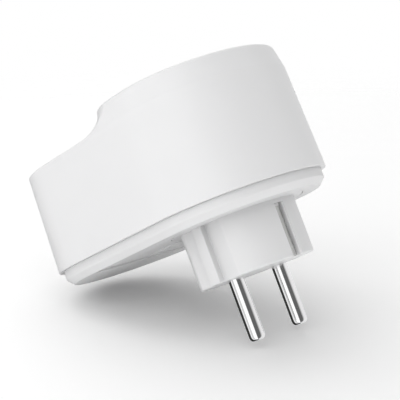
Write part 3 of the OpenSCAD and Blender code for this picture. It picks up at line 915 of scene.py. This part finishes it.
def socket_holes(bm):
    """Pin holes with bevelled mouths, slots for the earth arms, and screw holes in the flange."""
    for side in (-1, 1):
        hole, mouth = circle(side * PIN_X, 0, HOLE_R), circle(side * PIN_X, 0, HOLE_R + 0.7)
        slot = round_rect(0, side * 18, 4.8, 1.6, 0.3)
        prism(bm, [(hole, WELL_BACK - 1), (hole, WELL_FLOOR - 0.7), (mouth, WELL_FLOOR),
                   (mouth, WELL_FLOOR + 1)])
        prism(bm, [(slot, WELL_BACK - 1), (slot, WELL_FLOOR + 1)])
        for degrees in (45, 135):
            a = math.radians(degrees)
            ring = side * COLLAR_POST_RING
            screw = circle(ring * math.cos(a), ring * math.sin(a), 1.1, 32)
            prism(bm, [(screw, WELL_BACK - 1), (screw, WELL_BACK + 4)])


def make_socket(look, strip_look):
    socket = build("socket_insert_skin", socket_cup)
    combine(socket, "UNION", socket_ribs)
    combine(socket, "DIFFERENCE", socket_holes)
    dress(socket, "housing", look, ["socket_insert"])

    # One arm, from its flared tip over the knee that grips the plug to the bar behind the well.
    bar = node_box("socket_earth_clip")[0].z + 0.4
    arm = [(-18.35, 40.1), (-17.2, 35.0), (-18.0, 30.0), (-18.0, bar)]
    other = [(-up, front) for up, front in reversed(arm)]
    path = rounded(arm + other, [0, 2.2, 2.0, 0.9, 0.9, 2.0, 2.2, 0], 7)
    clip = build("socket_earth_clip_skin", lambda bm: bent_strip(bm, path, CLIP_WIDTH))
    dress(clip, "housing", strip_look, ["socket_earth_clip"])


# ---------------------------------------------------------------- display and buttons

def make_window(look, print_look):
    low, high = WINDOW_LOW, WINDOW_HIGH
    mid = (low + high) / 2
    width, height = high.x - low.x, high.y - low.y

    def pane(inset):
        return round_rect(mid.x, mid.y, width - 0.02 - 2 * inset, height - 0.02 - 2 * inset, 1.25)

    def border(bm):
        outer = round_rect(mid.x, mid.y, width - 0.1, height - 0.1, 1.2)
        inner = round_rect(mid.x, mid.y, width - 4.2, height - 4.2, 0.6)
        rings = [[at(p.x, p.y, low.z + z) for p in line] for line, z in
                 ((outer, 0.0), (outer, 0.05), (inner, 0.05), (inner, 0.0))]
        weave(bm, rings, loop=True, caps=False)
    window = build("lcd_window_pane", lambda bm: soft_prism(bm, pane, low.z + 0.06, high.z, 0.02, 0.15))
    dress(window, "housing", look, ["lcd_window"])
    dress(build("lcd_window_print", border), "housing", print_look)


# The display's four digits and three dots, none of them lit. The first ones lie this far from its middle.
FIRST_DIGIT = -9.1
FIRST_DOT = -4.45
DIGIT_PITCH = 5.0
DIGIT_TALL = 6.4
DIGIT_WIDE = 3.0
DIGIT_SLANT = 0.08
BAR_HALF_THICK = 0.3
BAR_GAP = 0.25
# The seven bars of a digit: (half heights up, upright or not, half widths to the right).
DIGIT_BARS = [(1, False, 0), (0, False, 0), (-1, False, 0), (0.5, True, 1), (0.5, True, -1),
              (-0.5, True, 1), (-0.5, True, -1)]


def digit_bar(bm, cx, cy, length, upright, front, middle):
    """One bar of a digit: a flat hexagon, slanted about the display's middle height."""
    half, thick = length / 2, BAR_HALF_THICK
    points = [(-half, 0), (-half + thick, -thick), (half - thick, -thick), (half, 0),
              (half - thick, thick), (-half + thick, thick)]
    if upright:
        points = [(-y, x) for x, y in points]
    outline = [Vector((cx + x + (cy + y - middle) * DIGIT_SLANT, cy + y)) for x, y in points]
    prism(bm, [(outline, front), (outline, front + 0.02)])


def make_lcd(glass, ghost):
    low, high = LCD_LOW, LCD_HIGH
    mid = (low + high) / 2
    width, height = high.x - low.x, high.y - low.y

    def plate(grow):
        def outline(inset):
            return round_rect(mid.x, mid.y, width + grow - 2 * inset, height + grow - 2 * inset, 0.2, 3)
        return outline

    def slabs(bm):
        soft_prism(bm, plate(0), low.z, low.z + 1.1, 0.08, 0.08, 2)
        soft_prism(bm, plate(-2.0), low.z + 1.1, high.z - 0.02, 0, 0.08, 2)

    def digits(bm):
        for i in range(4):
            x = mid.x + FIRST_DIGIT + i * DIGIT_PITCH
            for row, upright, column in DIGIT_BARS:
                length = (DIGIT_TALL / 2 if upright else DIGIT_WIDE) - BAR_GAP
                digit_bar(bm, x + column * DIGIT_WIDE / 2, mid.y + row * DIGIT_TALL / 2, length, upright,
                          high.z - 0.03, mid.y)
        for i in range(3):
            dot = circle(mid.x + FIRST_DOT + i * DIGIT_PITCH, mid.y - DIGIT_TALL / 2, 0.3, 16)
            prism(bm, [(dot, high.z - 0.03), (dot, high.z - 0.01)])
    dress(build("lcd_glass", slabs), "housing", glass, ["lcd_module"])
    dress(build("lcd_segments", digits), "housing", ghost)


def make_buttons(look, mark_look):
    """Round caps with a dished top, marked with a dot or an arrowhead."""
    for node, way in BUTTONS.items():
        low, high = node_box(node)
        cx, cy = (low.x + high.x) / 2, (low.y + high.y) / 2
        flange, flange_top = (high.x - low.x) / 2, low.z + 1.4
        cap, dish = flange - 1, high.z - 0.18
        profile = rounded([(0, low.z), (flange, low.z), (flange, flange_top), (cap, flange_top),
                           (cap, high.z), (cap - 1.2, high.z - 0.05), (0, dish)],
                          [0, 0.15, 0.15, 0.1, 0.5, 0.6, 0], 6)
        button = build(node + "_cap", lambda bm: lathe(bm, profile, 72, cx, cy, loop=False))
        dress(button, node, look, [node])

        if way:
            points = [(cx - 1.05, cy - 0.7 * way), (cx + 1.05, cy - 0.7 * way), (cx, cy + 1.0 * way)]
            outline = rounded(points, [0.25] * 3, 4, closed=True)
        else:
            outline = circle(cx, cy, 0.75, 32)
        mark = build(node + "_mark", lambda bm: prism(bm, [(outline, dish - 0.1), (outline, dish + 0.06)]))
        dress(mark, node, mark_look)


# ---------------------------------------------------------------- all together

WHITE = (0.83, 0.83, 0.835)

make_camera()
make_floor()
make_lights()
make_world()

shell_look = plastic("white_satin_shell", WHITE, 0.34, share=BOUNCE_SHARE)
cover_look = plastic("white_fine_grain_cover", shaded(WHITE, 0.98), 0.42, grain=1500, depth=0.00002,
                     share=BOUNCE_SHARE)
plug_look = plastic("white_plug_plastic", shaded(WHITE, 0.99), 0.36, share=BOUNCE_SHARE)
socket_look = plastic("white_socket_plastic", shaded(WHITE, 0.99), 0.38)
button_look = plastic("grey_button_plastic", (0.62, 0.63, 0.64), 0.32)
mark_look = plastic("dark_print", (0.05, 0.05, 0.055), 0.5, marks=0.9)
pin_look = metal("polished_nickel", (0.86, 0.86, 0.865), 0.1, (1, 0.02, 1), 0)
strip_look = metal("rolled_nickel_strip", (0.56, 0.56, 0.55), 0.3, (1, 0.08, 1), 0.000001)
glass_look = clear_plastic("clear_window")
lcd_look = plastic("reflective_lcd", (0.42, 0.46, 0.38), 0.22, grain=4000, depth=0.000004)
ghost_look = plastic("unlit_segments", (0.33, 0.37, 0.3), 0.25, grain=4000, depth=0.000004)
print_look = plastic("black_window_print", (0.018, 0.018, 0.02), 0.35, marks=0.8)

make_shell(shell_look)
make_cover(cover_look)
make_plug(plug_look)
make_pins(pin_look)
make_plug_earth(strip_look)
make_socket(socket_look, strip_look)
make_window(glass_look, print_look)
make_lcd(lcd_look, ghost_look)
make_buttons(button_look, mark_look)

# Looks of the pieces whose CAD meshes stay as they are, by the slot that each one has.
INNER_LOOKS = {
    "brass": metal("stamped_brass", (0.78, 0.6, 0.3), 0.28, (1, 1, 0.1)),
    "shunt_alloy": metal("shunt_alloy_sheet", (0.55, 0.38, 0.26), 0.35),
    "insulator": plastic("ivory_insulator", (0.8, 0.77, 0.66), 0.5),
    "shutter": plastic("grey_shutter_plastic", (0.66, 0.67, 0.68), 0.42),
    "spring_steel": metal("bright_spring_steel", (0.66, 0.67, 0.68), 0.22),
    "screw_steel": metal("zinc_screw_steel", (0.6, 0.61, 0.63), 0.3),
    "board": circuit_board("green_circuit_board"),
    "capacitor_box": plastic("yellow_capacitor_box", (0.72, 0.55, 0.06), 0.35),
    "capacitor_can": plastic("dark_can_sleeve", (0.04, 0.07, 0.09), 0.28, marks=0.85),
    "varistor_coat": plastic("blue_dipped_coat", (0.04, 0.12, 0.4), 0.25, grain=500, depth=0.0001),
    "ceramic": plastic("tan_ceramic", (0.6, 0.5, 0.34), 0.5, marks=0.9),
    "battery_wrap": plastic("green_shrink_sleeve", (0.03, 0.25, 0.12), 0.25, marks=0.9),
    "chip": plastic("black_moulded_epoxy", (0.02, 0.02, 0.022), 0.5, grain=1600, depth=0.00003),
    "lead_red": plastic("red_wire_insulation", (0.45, 0.03, 0.02), 0.4, marks=0.9),
    "lead_white": plastic("white_wire_insulation", (0.75, 0.75, 0.72), 0.4),
    "elastomer": plastic("contact_strip_rubber", (0.6, 0.56, 0.5), 0.6, marks=0.8),
    "plunger": plastic("black_plunger", (0.02, 0.02, 0.02), 0.45),
}
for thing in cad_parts.values():
    slot = thing.data.materials[0].name
    if slot in INNER_LOOKS:
        thing.data.materials[0] = INNER_LOOKS[slot]
